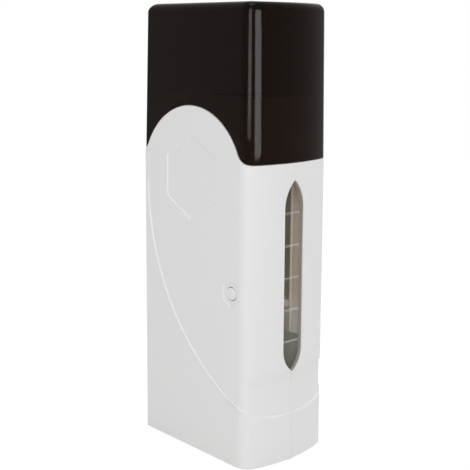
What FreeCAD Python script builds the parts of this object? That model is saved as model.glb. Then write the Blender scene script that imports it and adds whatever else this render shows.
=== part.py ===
"""Heater for a roll-on wax cartridge: two casing halves, a smoked lid, a heated chamber and its mains parts.

Millimetres. +Z is up, -Y is the front with the level window, and the push button is on the -X side.
The origin is on the surface the heater stands on, under the middle of its plan.
"""
import FreeCAD, Part
import math
import os
import Sketcher
from FreeCAD import Rotation, Vector

SIZES = {
    # Outline of the casing, measured at the joint between casing and lid
    "overall_height": 210.4,
    "case_width": 51.4,
    "case_depth": 76.0,
    "front_bow": 4.8,
    "front_corner_radius": 6.7,
    "back_corner_radius": 0.6,
    "cavity_corner_radius": 2.0,
    "bottom_edge_radius": 0.8,
    "case_draft": 0.28,
    "case_wall": 2.2,
    "floor_thickness": 2.2,
    "seam_groove": 0.4,
    # Joint between casing and lid: level at the front, a bell-shaped tongue at each side
    "joint_height": 140.9,
    "joint_gap": 0.3,
    "bell_rise": 24.0,
    "bell_radius": 35.0,
    "bell_centre_y": 4.0,
    "bell_flare": 8.0,
    # Smoked lid
    "lid_draft": 1.05,
    "lid_step": 0.1,
    "lid_wall": 1.8,
    "lid_top": 2.0,
    "lid_edge_radius": 4.0,
    "lid_corner_radius": 1.0,
    "lid_clearance": 0.35,
    # Hexagons sunk in the casing and the ridge raised on it
    "pit_depth": 0.5,
    "sweep_height": 0.45,
    "sweep_width": 1.2,
    "large_hexagon_radius": 20.0,
    "hexagon_drop": 8.8,
    "small_hexagon_radius": 6.5,
    "sweep_radius": 105.2,
    "sweep_back_space": 3.16,
    "sweep_drop": 13.42,
    "band_depth": 0.9,
    "band_low": 23.2,
    "band_high": 43.9,
    "band_lead": 0.35,
    "band_step": 5.8,
    # Level window
    "window_half_width": 5.9,
    "window_low": 54.4,
    "window_drop": 20.5,
    "window_low_point": 10.6,
    "window_high_point": 12.9,
    "pane_recess": 0.4,
    "pane_clearance": 0.1,
    "pane_flange": 1.2,
    "pane_margin": 2.0,
    "tick_low_space": 4.1,
    "tick_high_space": 2.02,
    "tick_count": 5,
    "tick_thickness": 0.9,
    "tick_height": 0.3,
    "tick_end": 3.4,
    # Collar and deck round the cartridge opening
    "collar_wall": 1.6,
    "collar_lap": 4.5,
    "deck_drop": 40.5,
    "deck_thickness": 2.0,
    "ledge_width": 2.0,
    # Heated chamber for the cartridge
    "chamber_side_space": 9.7,
    "chamber_front_space": 18.1,
    "chamber_back_space": 6.6,
    "chamber_wall": 1.2,
    "chamber_corner": 3.0,
    "chamber_bottom": 71.4,
    "seat_thickness": 3.0,
    "seat_pad": 1.0,
    "fit_clearance": 0.2,
    "lug_width": 8.0,
    "lug_back_space": 5.0,
    "lug_spacing": 14.0,
    "shelf_height": 8.0,
    # Light cheeks between window and chamber
    "cheek_thickness": 1.0,
    "cheek_lift": 1.0,
    "cheek_drop": 6.3,
    "cheek_lap": 6.0,
    # Heaters, their spring clamps and the heat-proof sheets
    "heater_thickness": 3.0,
    "heater_front_space": 15.5,
    "heater_back_space": 5.0,
    "heater_rise": 13.0,
    "heater_drop": 16.5,
    "clamp_thickness": 0.8,
    "clamp_height": 8.0,
    "clamp_foot": 4.4,
    "rivet_radius": 1.2,
    "rivet_head_radius": 1.9,
    "rivet_head": 0.8,
    "sheet_thickness": 0.6,
    "sheet_margin": 2.0,
    # Thermostat and thermal fuse on the chamber wall
    "thermostat_width": 7.0,
    "thermostat_thickness": 3.5,
    "sensor_space": 11.0,
    "sensor_rise": 4.0,
    "sensor_clamp_space": 3.0,
    "fuse_radius": 2.0,
    "fuse_length": 12.0,
    # Push button, switch and circuit board
    "button_front_space": 13.85,
    "button_z": 82.4,
    "button_radius": 2.9,
    "button_clearance": 0.3,
    "button_proud": 0.2,
    "button_edge": 0.5,
    "button_travel": 0.5,
    "stem_clearance": 0.1,
    "button_flange": 0.7,
    "button_flange_radius": 4.2,
    "board_thickness": 1.0,
    "board_front_space": 6.6,
    "board_drop": 20.0,
    "board_height": 36.0,
    "switch_side": 6.0,
    "switch_height": 2.0,
    "plunger_radius": 1.5,
    "plunger_clearance": 0.05,
    "plunger_depth": 0.7,
    "lamp_side": 1.6,
    "lamp_height": 1.1,
    "triac_side": 5.0,
    "triac_height": 2.2,
    "capacitor_width": 10.0,
    "capacitor_height": 9.0,
    "capacitor_thickness": 3.4,
    "component_corner": 0.6,
    # Mains inlet in the back
    "inlet_z": 22.4,
    "inlet_width": 19.2,
    "inlet_height": 12.4,
    "inlet_depth": 14.6,
    "inlet_bore": 4.3,
    "inlet_recess": 12.6,
    "inlet_flange": 1.5,
    "inlet_flange_margin": 1.9,
    "pin_spacing": 6.6,
    "pin_radius": 1.18,
    "pin_setback": 3.0,
    "pin_tail": 3.0,
    # Fasteners, bosses and feet
    "boss_radius": 3.6,
    "boss_low_z": 8.9,
    "boss_front_space": 10.6,
    "boss_back_space": 10.6,
    "boss_drop": 11.0,
    "boss_high_space": 11.6,
    "boss_spacing": 24.0,
    "screw_radius": 1.35,
    "screw_length": 14.0,
    "screw_seat": 6.0,
    "screw_clearance": 0.25,
    "screw_head_radius": 2.5,
    "screw_head": 1.9,
    "screw_slot": 0.8,
    "well_clearance": 0.4,
    "foot_radius": 4.0,
    "foot_proud": 0.4,
    "foot_recess": 0.8,
    "foot_side_space": 8.7,
    "foot_front_space": 13.6,
    "foot_back_space": 8.6,
    # Insulated leads
    "lead_radius": 0.9,
    "lead_space": 0.1,
    "lead_run": 5.0,
}

doc = FreeCAD.newDocument("roll_on_wax_heater")
sheet = doc.addObject("Spreadsheet::Sheet", "Sizes")
for row, (alias, size) in enumerate(SIZES.items(), start=1):
    sheet.set(f"A{row}", alias.replace("_", " "))
    sheet.set(f"B{row}", str(size))
    sheet.setAlias(f"B{row}", alias)
doc.recompute()

# Places that several pieces share, worked out from the sheet
HALF_WIDTH = "(Sizes.case_width / 2)"
BACK = "(Sizes.case_depth / 2)"
BOW_RADIUS = "((Sizes.case_width^2 / 4 + Sizes.front_bow^2) / (2 * Sizes.front_bow))"
FLOOR_TOP = "(Sizes.foot_proud + Sizes.floor_thickness)"
LID_INNER = "(Sizes.lid_step + Sizes.lid_wall)"
COLLAR_OUTER = f"({LID_INNER} + Sizes.lid_clearance)"
COLLAR_BOTTOM = "(Sizes.joint_height - Sizes.collar_lap)"
DECK_TOP = "(Sizes.overall_height - Sizes.deck_drop)"
DECK_UNDER = f"({DECK_TOP} - Sizes.deck_thickness)"
WALL_INNER = f"({HALF_WIDTH} - Sizes.case_wall)"
SWEEP_Y = f"({BACK} - Sizes.sweep_back_space - Sizes.sweep_radius)"
SWEEP_Z = "(Sizes.joint_height - Sizes.sweep_drop)"
HEXAGON_Z = "(Sizes.joint_height - Sizes.hexagon_drop)"
WINDOW_HIGH = "(Sizes.joint_height - Sizes.window_drop)"
TICK_FIRST = "(Sizes.window_low + Sizes.tick_low_space)"
TICK_PITCH = f"(({WINDOW_HIGH} - Sizes.tick_high_space - {TICK_FIRST}) / (Sizes.tick_count - 1))"
CHAMBER_INNER = f"({HALF_WIDTH} - Sizes.chamber_side_space)"
CHAMBER_OUTER = f"({CHAMBER_INNER} + Sizes.chamber_wall)"
CHAMBER_FRONT = f"({BACK} - Sizes.chamber_front_space)"
CHAMBER_BACK = f"({BACK} - Sizes.chamber_back_space)"
CHAMBER_REAR = f"({CHAMBER_BACK} + Sizes.chamber_wall)"
CHEEK_OUTER = f"({CHAMBER_OUTER} + Sizes.cheek_thickness)"
CHEEK_BACK = f"(Sizes.cheek_lap - {CHAMBER_FRONT})"
CHEEK_LOW = "(Sizes.window_low + Sizes.cheek_lift)"
CHEEK_HIGH = "(Sizes.joint_height - Sizes.cheek_drop)"
HEATER_OUTER = f"({CHAMBER_OUTER} + Sizes.heater_thickness)"
HEATER_FRONT = f"(Sizes.heater_front_space - {CHAMBER_FRONT})"
HEATER_BACK = f"({CHAMBER_BACK} - Sizes.heater_back_space)"
HEATER_LOW = "(Sizes.chamber_bottom + Sizes.heater_rise)"
HEATER_HIGH = "(Sizes.joint_height - Sizes.heater_drop)"
CLAMP_OUTER = f"({HEATER_OUTER} + Sizes.clamp_thickness)"
CLAMP_LOW = f"(({HEATER_LOW} + {HEATER_HIGH} - Sizes.clamp_height) / 2)"
SENSOR_Y = f"(Sizes.sensor_space - {CHAMBER_FRONT})"
SENSOR_LOW = "(Sizes.chamber_bottom + Sizes.sensor_rise)"
SENSOR_HIGH = f"({CLAMP_LOW} - Sizes.sensor_clamp_space)"
SEAT_TOP = "Sizes.chamber_bottom"
SEAT_LOW = "(Sizes.chamber_bottom - Sizes.seat_thickness)"
LUG_BACK = f"({CHAMBER_BACK} - Sizes.lug_back_space)"
LUG_FRONT = f"({LUG_BACK} - Sizes.lug_spacing)"
BUTTON_Y = f"(Sizes.button_front_space - {BACK})"
BOARD_FRONT = f"({BACK} - Sizes.board_front_space)"
BOARD_LOW = "(Sizes.button_z - Sizes.board_drop)"
BOARD_OUTER = f"({CHEEK_OUTER} + Sizes.board_thickness)"
SWITCH_FACE = f"({BOARD_OUTER} + Sizes.switch_height)"
STEM_END = f"({SWITCH_FACE} + Sizes.button_travel + Sizes.button_clearance + Sizes.stem_clearance)"
SIDE_AT_BUTTON = f"({HALF_WIDTH} + (Sizes.joint_height - Sizes.button_z) * tan(Sizes.case_draft * 1deg))"
FLANGE_FACE = f"({SIDE_AT_BUTTON} - Sizes.case_wall - Sizes.button_clearance)"
INLET_FRONT = f"({BACK} - Sizes.inlet_depth)"
OUTSIDE = "Sizes.case_depth"

UP = Rotation()
ALONG_X = Rotation(Vector(0, 1, 0), 90)
ALONG_Y = Rotation(Vector(1, 0, 0), -90)
POINT_UP_ALONG_X = Rotation(Vector(1, 0, 1), 180)


def number(formula):
    """The value of a formula of the sheet's cells."""
    return float(sheet.evalExpression(str(formula)))


def place(thing, x="0", y="0", z="0", turn=UP):
    thing.Placement = FreeCAD.Placement(Vector(), turn)
    for axis, formula in zip("xyz", (x, y, z)):
        thing.setExpression(f"Placement.Base.{axis}", str(formula))
    return thing


def block(name, x, y, z):
    """A box between two formulas on each axis."""
    thing = doc.addObject("Part::Box", name)
    for side, (low, high) in zip(("Length", "Width", "Height"), (x, y, z)):
        thing.setExpression(side, f"({high}) - ({low})")
    return place(thing, x[0], y[0], z[0])


def rod(name, radius, start, end, y="0", z="0", turn=ALONG_X, x="0"):
    """A cylinder from start to end along X, or along Y or Z with the turn given."""
    thing = doc.addObject("Part::Cylinder", name)
    thing.setExpression("Radius", str(radius))
    thing.setExpression("Height", f"({end}) - ({start})")
    if turn == ALONG_X:
        return place(thing, start, y, z, turn)
    if turn == ALONG_Y:
        return place(thing, x, start, z, turn)
    return place(thing, x, y, start, turn)


def fuse(name, *pieces):
    thing = doc.addObject("Part::MultiFuse", name)
    thing.Shapes = list(pieces)
    thing.Refine = True
    return thing


def common(name, *pieces):
    thing = doc.addObject("Part::MultiCommon", name)
    thing.Shapes = list(pieces)
    return thing


def cut(name, base, *tools):
    thing = doc.addObject("Part::Cut", name)
    thing.Base = base
    thing.Tool = tools[0] if len(tools) == 1 else fuse(f"{name}_tools", *tools)
    return thing


def group(name, pieces):
    """Separate solids that share one node."""
    thing = doc.addObject("Part::Compound", name)
    thing.Links = pieces
    return thing


def origin_plane(body, role):
    return next(item for item in body.Origin.OriginFeatures if item.Role == role)


def sketch_on(body, name, role, offset="0"):
    """An empty sketch on one of the body's own planes, moved along the plane's normal."""
    sketch = body.newObject("Sketcher::SketchObject", name)
    sketch.AttachmentSupport = (origin_plane(body, role), [""])
    sketch.MapMode = "FlatFace"
    sketch.setExpression("AttachmentOffset.Base.z", str(offset))
    return sketch


def constrain(sketch, name, formula, kind, *geometry):
    """A dimension of the sketch that follows a formula."""
    index = sketch.addConstraint(Sketcher.Constraint(kind, *geometry, number(formula)))
    sketch.renameConstraint(index, name)
    sketch.setExpression(f"Constraints.{name}", str(formula))


def join(sketch, kind, pairs):
    """Tangent or coincident joints between the ends of edges."""
    for first, first_end, second, second_end in pairs:
        sketch.addConstraint(Sketcher.Constraint(kind, first, first_end, second, second_end))


def arc(centre_x, centre_y, radius, start, end):
    circle = Part.Circle(Vector(centre_x, centre_y, 0), Vector(0, 0, 1), radius)
    return Part.ArcOfCircle(circle, start, end)


def line(x1, y1, x2, y2):
    return Part.LineSegment(Vector(x1, y1, 0), Vector(x2, y2, 0))


def plan(body, name, inset, back_radius, front_shift="0"):
    """Plan of the heater at the joint: flat sides and back, bowed front, taken in by inset all round."""
    half = f"({HALF_WIDTH} - ({inset}))"
    back = f"({BACK} - ({inset}))"
    bow = f"({BOW_RADIUS} - ({inset}))"
    centre = f"({BOW_RADIUS} - {BACK} + ({front_shift}))"
    corner = f"(Sizes.front_corner_radius - ({inset}))"
    h, b, r, c, k, q = (number(f) for f in (half, back, bow, centre, corner, back_radius))
    lean = math.asin((h - k) / (r - k))
    corner_y = c - (r - k) * math.cos(lean)
    quarter = math.pi / 2
    edges = {
        "bow": arc(0, c, r, 3 * quarter - lean, 3 * quarter + lean),
        "right_corner": arc(h - k, corner_y, k, 3 * quarter + lean, 4 * quarter),
        "right_side": line(h, corner_y, h, b - q),
        "right_back": arc(h - q, b - q, max(q, 1), 0, quarter),
        "rear": line(h - q, b, q - h, b),
        "left_back": arc(q - h, b - q, max(q, 1), quarter, 2 * quarter),
        "left_side": line(-h, b - q, -h, corner_y),
        "left_corner": arc(k - h, corner_y, k, 2 * quarter, 3 * quarter - lean),
    }
    if q == 0:
        del edges["right_back"], edges["left_back"]
    order = list(edges)
    at = {edge: index for index, edge in enumerate(order)}
    sketch = sketch_on(body, name, "XY_Plane", "Sizes.joint_height")
    sketch.addGeometry(list(edges.values()))
    for edge, following in zip(order, order[1:] + order[:1]):
        meeting = "Coincident" if q == 0 and "rear" in (edge, following) else "Tangent"
        join(sketch, meeting, [(at[edge], 2, at[following], 1)])
    sketch.addConstraint(Sketcher.Constraint("Vertical", at["right_side"]))
    sketch.addConstraint(Sketcher.Constraint("Horizontal", at["rear"]))
    sketch.addConstraint(Sketcher.Constraint("Vertical", at["left_side"]))
    sketch.addConstraint(Sketcher.Constraint("PointOnObject", at["bow"], 3, -2))
    constrain(sketch, "bow_centre", centre, "DistanceY", -1, 1, at["bow"], 3)
    constrain(sketch, "bow_radius", bow, "Radius", at["bow"])
    constrain(sketch, "right_half", half, "DistanceX", -1, 1, at["right_side"], 1)
    constrain(sketch, "left_half", half, "DistanceX", at["left_side"], 1, -1, 1)
    constrain(sketch, "back", back, "DistanceY", -1, 1, at["rear"], 1)
    constrain(sketch, "right_corner", corner, "Radius", at["right_corner"])
    constrain(sketch, "left_corner", corner, "Radius", at["left_corner"])
    if q > 0:
        constrain(sketch, "right_back", back_radius, "Radius", at["right_back"])
        constrain(sketch, "left_back", back_radius, "Radius", at["left_back"])
    return sketch


def flat_face_edges(feature, height):
    """The edges round the level face at a height, by name."""
    shape = feature.Shape
    for face in shape.Faces:
        if abs(face.BoundBox.ZMin - height) < 1e-4 and abs(face.BoundBox.ZMax - height) < 1e-4:
            return [
                f"Edge{index}" for index, edge in enumerate(shape.Edges, start=1)
                if any(edge.isSame(rim) for rim in face.Edges)
            ]
    return []


def drafted_form(name, inset, low=None, high=None, low_radius=None, high_radius=None,
                 back_radius="Sizes.cavity_corner_radius", front_shift="0"):
    """A solid on the plan that widens downwards and narrows upwards from the joint, as the moulds do."""
    body = doc.addObject("PartDesign::Body", name)
    sketch = plan(body, f"{name}_plan", inset, back_radius, front_shift)
    for end, height, draft in (("lower", low, "Sizes.case_draft"), ("upper", high, "-Sizes.lid_draft")):
        if height is None:
            continue
        pad = body.newObject("PartDesign::Pad", f"{name}_{end}")
        pad.Profile = sketch
        pad.Reversed = end == "lower"
        pad.setExpression("Length", f"abs(({height}) - Sizes.joint_height)")
        pad.setExpression("TaperAngle", draft)
    doc.recompute()
    for end, height, radius in (("foot", low, low_radius), ("head", high, high_radius)):
        if radius is None:
            continue
        base = body.Tip
        rounding = body.newObject("PartDesign::Fillet", f"{name}_{end}_rounding")
        rounding.Base = (base, flat_face_edges(base, number(height)))
        rounding.setExpression("Radius", radius)
        doc.recompute()
    return body


def rounded_hood(name, inset, top, top_radius, corner_radius):
    """A form that stands on the joint, with its top edge and its upright back corners rounded and blended."""
    body = drafted_form(f"{name}_form", inset, high=top, back_radius="0")
    height = number(top)
    rim = [int(edge.removeprefix("Edge")) for edge in flat_face_edges(body, height)]
    uprights = [
        index for index, edge in enumerate(body.Shape.Edges, start=1)
        if edge.BoundBox.ZLength > (height - number("Sizes.joint_height")) / 2 and edge.BoundBox.Center.y > 0
        and edge.BoundBox.YMax > number(f"{BACK} - ({inset})") - number("Sizes.joint_gap")
    ]
    hood = doc.addObject("Part::Fillet", name)
    hood.Base = body
    radii = [(edge, number(top_radius)) for edge in rim]
    radii += [(edge, number(corner_radius)) for edge in uprights]
    hood.Edges = [(edge, radius, radius) for edge, radius in radii]
    return hood


def below_joint(name, gap):
    """Everything under the joint's line, seen from the side, raised by gap, without a bell in the front."""
    level = f"(Sizes.joint_height + ({gap}))"
    bell_z = "(Sizes.joint_height + Sizes.bell_rise - Sizes.bell_radius)"
    bell = f"(Sizes.bell_radius + ({gap}))"
    flare = f"(Sizes.bell_flare - ({gap}))"
    far = number(OUTSIDE)
    z, c, r, k, y = (number(f) for f in (level, bell_z, bell, flare, "Sizes.bell_centre_y"))
    rise = math.asin((z + k - c) / (r + k))
    reach = (r + k) * math.cos(rise)
    body = doc.addObject("PartDesign::Body", f"{name}_profile")
    sketch = sketch_on(body, f"{name}_line", "YZ_Plane")
    sketch.addGeometry([
        line(-far, z, y - reach, z),
        arc(y - reach, z + k, k, 3 * math.pi / 2, 2 * math.pi - rise),
        arc(y, c, r, rise, math.pi - rise),
        arc(y + reach, z + k, k, math.pi + rise, 3 * math.pi / 2),
        line(y + reach, z, far, z),
        line(far, z, far, -far),
        line(far, -far, -far, -far),
        line(-far, -far, -far, z),
    ])
    join(sketch, "Tangent", [(0, 2, 1, 1), (1, 2, 2, 2), (2, 1, 3, 1), (3, 2, 4, 1)])
    join(sketch, "Coincident", [(4, 2, 5, 1), (5, 2, 6, 1), (6, 2, 7, 1), (7, 2, 0, 1)])
    for edge in (0, 4, 6):
        sketch.addConstraint(Sketcher.Constraint("Horizontal", edge))
    for edge in (5, 7):
        sketch.addConstraint(Sketcher.Constraint("Vertical", edge))
    constrain(sketch, "front_level", level, "DistanceY", -1, 1, 0, 1)
    constrain(sketch, "back_level", level, "DistanceY", -1, 1, 4, 1)
    constrain(sketch, "bell_radius", bell, "Radius", 2)
    constrain(sketch, "bell_y", "Sizes.bell_centre_y", "DistanceX", -1, 1, 2, 3)
    constrain(sketch, "bell_z", bell_z, "DistanceY", -1, 1, 2, 3)
    constrain(sketch, "front_flare", flare, "Radius", 1)
    constrain(sketch, "back_flare", flare, "Radius", 3)
    constrain(sketch, "front_reach", OUTSIDE, "DistanceX", 0, 1, -1, 1)
    constrain(sketch, "back_reach", OUTSIDE, "DistanceX", -1, 1, 5, 1)
    constrain(sketch, "depth", OUTSIDE, "DistanceY", 5, 2, -1, 1)
    pad = body.newObject("PartDesign::Pad", f"{name}_width")
    pad.Profile = sketch
    pad.Midplane = True
    pad.setExpression("Length", f"2 * {OUTSIDE}")
    core = f"({WALL_INNER} - Sizes.ledge_width / 2 - ({gap}))"
    front = block(f"{name}_front", (f"-{core}", core), (f"-{OUTSIDE}", "Sizes.bell_centre_y"),
                  (level, "Sizes.overall_height"))
    return cut(name, body, front)


def window_prism(name, grow):
    """The level window's outline, pointed at both ends, grown by grow and run through the front wall."""
    side = "Sizes.window_half_width"
    half = f"({side} + ({grow}))"
    top = f"((Sizes.window_high_point^2 / {side} + {side}) / 2 + ({grow}))"
    bottom = f"((Sizes.window_low_point^2 / {side} + {side}) / 2 + ({grow}))"
    h, t, b, high, low = (number(f) for f in (half, top, bottom, WINDOW_HIGH, "Sizes.window_low"))
    top_angle = math.acos((t - h) / t)
    bottom_angle = math.acos((b - h) / b)
    body = doc.addObject("PartDesign::Body", name)
    sketch = sketch_on(body, f"{name}_outline", "XZ_Plane")
    sketch.addGeometry([
        line(h, low, h, high),
        arc(h - t, high, t, 0, top_angle),
        arc(t - h, high, t, math.pi - top_angle, math.pi),
        line(-h, high, -h, low),
        arc(b - h, low, b, math.pi, math.pi + bottom_angle),
        arc(h - b, low, b, 2 * math.pi - bottom_angle, 2 * math.pi),
    ])
    join(sketch, "Tangent", [(0, 2, 1, 1), (2, 2, 3, 1), (3, 2, 4, 1), (5, 2, 0, 1)])
    join(sketch, "Coincident", [(1, 2, 2, 1), (4, 2, 5, 1)])
    sketch.addConstraint(Sketcher.Constraint("Vertical", 0))
    sketch.addConstraint(Sketcher.Constraint("Vertical", 3))
    constrain(sketch, "right_half", half, "DistanceX", -1, 1, 0, 1)
    constrain(sketch, "left_half", half, "DistanceX", 3, 1, -1, 1)
    constrain(sketch, "right_low", "Sizes.window_low", "DistanceY", -1, 1, 0, 1)
    constrain(sketch, "right_high", WINDOW_HIGH, "DistanceY", -1, 1, 0, 2)
    constrain(sketch, "left_high", WINDOW_HIGH, "DistanceY", -1, 1, 3, 1)
    constrain(sketch, "left_low", "Sizes.window_low", "DistanceY", -1, 1, 3, 2)
    constrain(sketch, "right_top", top, "Radius", 1)
    constrain(sketch, "left_top", top, "Radius", 2)
    constrain(sketch, "left_bottom", bottom, "Radius", 4)
    constrain(sketch, "right_bottom", bottom, "Radius", 5)
    pad = body.newObject("PartDesign::Pad", f"{name}_run")
    pad.Profile = sketch
    pad.setExpression("Length", OUTSIDE)
    return body


def rounded_block(name, x, y, z, radius):
    """A box whose upright edges are rounded."""
    body = doc.addObject("PartDesign::Body", name)
    sketch = sketch_on(body, f"{name}_plan", "XY_Plane", z[0])
    left, right, front, back = (number(f) for f in (*x, *y))
    sketch.addGeometry([
        line(left, front, right, front),
        line(right, front, right, back),
        line(right, back, left, back),
        line(left, back, left, front),
    ])
    join(sketch, "Coincident", [(edge, 2, (edge + 1) % 4, 1) for edge in range(4)])
    for edge in (0, 2):
        sketch.addConstraint(Sketcher.Constraint("Horizontal", edge))
    for edge in (1, 3):
        sketch.addConstraint(Sketcher.Constraint("Vertical", edge))
    constrain(sketch, "left", f"-({x[0]})", "DistanceX", 0, 1, -1, 1)
    constrain(sketch, "right", x[1], "DistanceX", -1, 1, 0, 2)
    constrain(sketch, "front", f"-({y[0]})", "DistanceY", 0, 1, -1, 1)
    constrain(sketch, "back", y[1], "DistanceY", -1, 1, 1, 2)
    pad = body.newObject("PartDesign::Pad", f"{name}_height")
    pad.Profile = sketch
    pad.setExpression("Length", f"({z[1]}) - ({z[0]})")
    doc.recompute()
    upright = [
        f"Edge{index}" for index, edge in enumerate(pad.Shape.Edges, start=1)
        if abs(edge.tangentAt(edge.FirstParameter).z) > 0.9
    ]
    rounding = body.newObject("PartDesign::Fillet", f"{name}_corners")
    rounding.Base = (pad, upright)
    rounding.setExpression("Radius", radius)
    return body


def hexagon_pit(name, radius, face, y, z):
    """A hexagon with a corner at the top in each side, whose walls slope out from deep inside to past the face."""
    sides = []
    for side, sign in (("left", "-"), ("right", "")):
        outlines = []
        for end, share in (("deep", "-"), ("proud", "+")):
            outline = doc.addObject("Part::RegularPolygon", f"{name}_{side}_{end}")
            outline.Polygon = 6
            outline.setExpression("Circumradius", f"{radius} {share} 2 * Sizes.pit_depth / cos(30deg)")
            place(outline, f"{sign}({face} {share} 2 * Sizes.pit_depth)", y, z, POINT_UP_ALONG_X)
            outlines.append(outline)
        slope = doc.addObject("Part::Loft", f"{name}_{side}")
        slope.Sections = outlines
        slope.Solid = True
        slope.Ruled = True
        sides.append(slope)
    return fuse(name, *sides)


def hexagon_pits():
    """Two shallow hexagonal pits in each side, with floors that follow the skin."""
    floor = drafted_form("pit_floor", "Sizes.pit_depth", low=FLOOR_TOP,
                         high="Sizes.joint_height + Sizes.bell_rise", back_radius="Sizes.back_corner_radius")
    large = hexagon_pit("large_hexagon", "Sizes.large_hexagon_radius", HALF_WIDTH,
                        "Sizes.bell_centre_y", HEXAGON_Z)
    small = hexagon_pit("small_hexagon", "Sizes.small_hexagon_radius", SIDE_AT_BUTTON, BUTTON_Y,
                        "Sizes.button_z")
    return cut("hexagon_pits", fuse("hexagons", large, small), floor)


def sweep_ridge():
    """A low ridge on each side, from the joint at the back down to the front, with a slope on its front."""
    skin = drafted_form("sweep_skin", "-Sizes.sweep_height", low=FLOOR_TOP,
                        high="Sizes.joint_height + Sizes.bell_rise", back_radius="Sizes.back_corner_radius")
    outer = rod("sweep_outer", "Sizes.sweep_radius + Sizes.sweep_width", f"-{OUTSIDE}", OUTSIDE,
                SWEEP_Y, SWEEP_Z)
    hollows = [rod("sweep_inner", "Sizes.sweep_radius - Sizes.case_wall", f"-{OUTSIDE}", OUTSIDE,
                   SWEEP_Y, SWEEP_Z)]
    for side, sign, radii in (("left", "-", ("Radius2", "Radius1")), ("right", "", ("Radius1", "Radius2"))):
        slope = doc.addObject("Part::Cone", f"sweep_slope_{side}")
        slope.setExpression(radii[0], "Sizes.sweep_radius - Sizes.case_wall")
        slope.setExpression(radii[1], "Sizes.sweep_radius + Sizes.case_wall")
        slope.setExpression("Height", "2 * Sizes.case_wall")
        start = f"{sign}{HALF_WIDTH} - Sizes.case_wall"
        hollows.append(place(slope, start, SWEEP_Y, SWEEP_Z, ALONG_X))
    lower = block("sweep_reach", (f"-{OUTSIDE}", OUTSIDE), (f"-{OUTSIDE}", OUTSIDE), ("0", SWEEP_Z))
    sweep = common("sweep", cut("sweep_ring", outer, *hollows), lower)
    crest = f"({SWEEP_Y} + Sizes.sweep_radius)"
    rise = block("sweep_rise", (f"-{OUTSIDE}", OUTSIDE), (crest, f"{crest} + Sizes.sweep_width"),
                 (SWEEP_Z, "Sizes.joint_height"))
    return common("sweep_ridge", fuse("sweep_lines", sweep, rise), skin)


def front_band():
    """What is taken off the front and its corners for a shallow band with a sloped step at the bottom."""
    body = doc.addObject("PartDesign::Body", "band_profile")
    sketch = sketch_on(body, "band_section", "YZ_Plane")
    front, step = number(OUTSIDE), number("Sizes.band_step")
    low, high = number("Sizes.band_low"), number("Sizes.band_high")
    face = number(f"{BACK} + Sizes.band_lead")
    inner = number(f"{BACK} - Sizes.front_corner_radius")
    sketch.addGeometry([
        line(-front, low, -face, low),
        line(-face, low, -inner, low + step),
        line(-inner, low + step, -inner, high),
        line(-inner, high, -front, high),
        line(-front, high, -front, low),
    ])
    join(sketch, "Coincident", [(edge, 2, (edge + 1) % 5, 1) for edge in range(5)])
    for edge in (0, 3):
        sketch.addConstraint(Sketcher.Constraint("Horizontal", edge))
    for edge in (2, 4):
        sketch.addConstraint(Sketcher.Constraint("Vertical", edge))
    constrain(sketch, "low", "Sizes.band_low", "DistanceY", -1, 1, 0, 1)
    constrain(sketch, "step", "Sizes.band_low + Sizes.band_step", "DistanceY", -1, 1, 1, 2)
    constrain(sketch, "high", "Sizes.band_high", "DistanceY", -1, 1, 2, 2)
    constrain(sketch, "reach", OUTSIDE, "DistanceX", 0, 1, -1, 1)
    constrain(sketch, "face", f"{BACK} + Sizes.band_lead", "DistanceX", 0, 2, -1, 1)
    constrain(sketch, "inner", f"{BACK} - Sizes.front_corner_radius", "DistanceX", 1, 2, -1, 1)
    pad = body.newObject("PartDesign::Pad", "band_width")
    pad.Profile = sketch
    pad.Midplane = True
    pad.setExpression("Length", f"2 * {OUTSIDE}")
    floor = drafted_form("band_floor", "0", low="Sizes.foot_proud", back_radius="Sizes.back_corner_radius",
                         front_shift="Sizes.band_depth")
    return cut("front_band", body, floor)


def bosses():
    """Place of each casing screw, in the plane of the sides."""
    low_front = f"(Sizes.boss_front_space - {BACK})"
    low_back = f"({BACK} - Sizes.boss_back_space)"
    high_back = f"({BACK} - Sizes.boss_high_space)"
    high = "(Sizes.chamber_bottom - Sizes.boss_drop)"
    return [
        ("low_front", low_front, "Sizes.boss_low_z"),
        ("low_back", low_back, "Sizes.boss_low_z"),
        ("high_front", f"({high_back} - Sizes.boss_spacing)", high),
        ("high_back", high_back, high),
    ]


def lug_spans():
    """The stretches of Y where the seat's lugs lie on the casing's shelves."""
    return [
        (f"{centre} - Sizes.lug_width / 2", f"{centre} + Sizes.lug_width / 2")
        for centre in (LUG_FRONT, LUG_BACK)
    ]


def feet_places():
    """Name and place of each foot."""
    side_place = f"({HALF_WIDTH} - Sizes.foot_side_space)"
    ends = (("front", f"(Sizes.foot_front_space - {BACK})"), ("back", f"({BACK} - Sizes.foot_back_space)"))
    return [
        (f"{side}_{end}", f"{sign}{side_place}", y)
        for side, sign in (("left", "-"), ("right", ""))
        for end, y in ends
    ]


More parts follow.
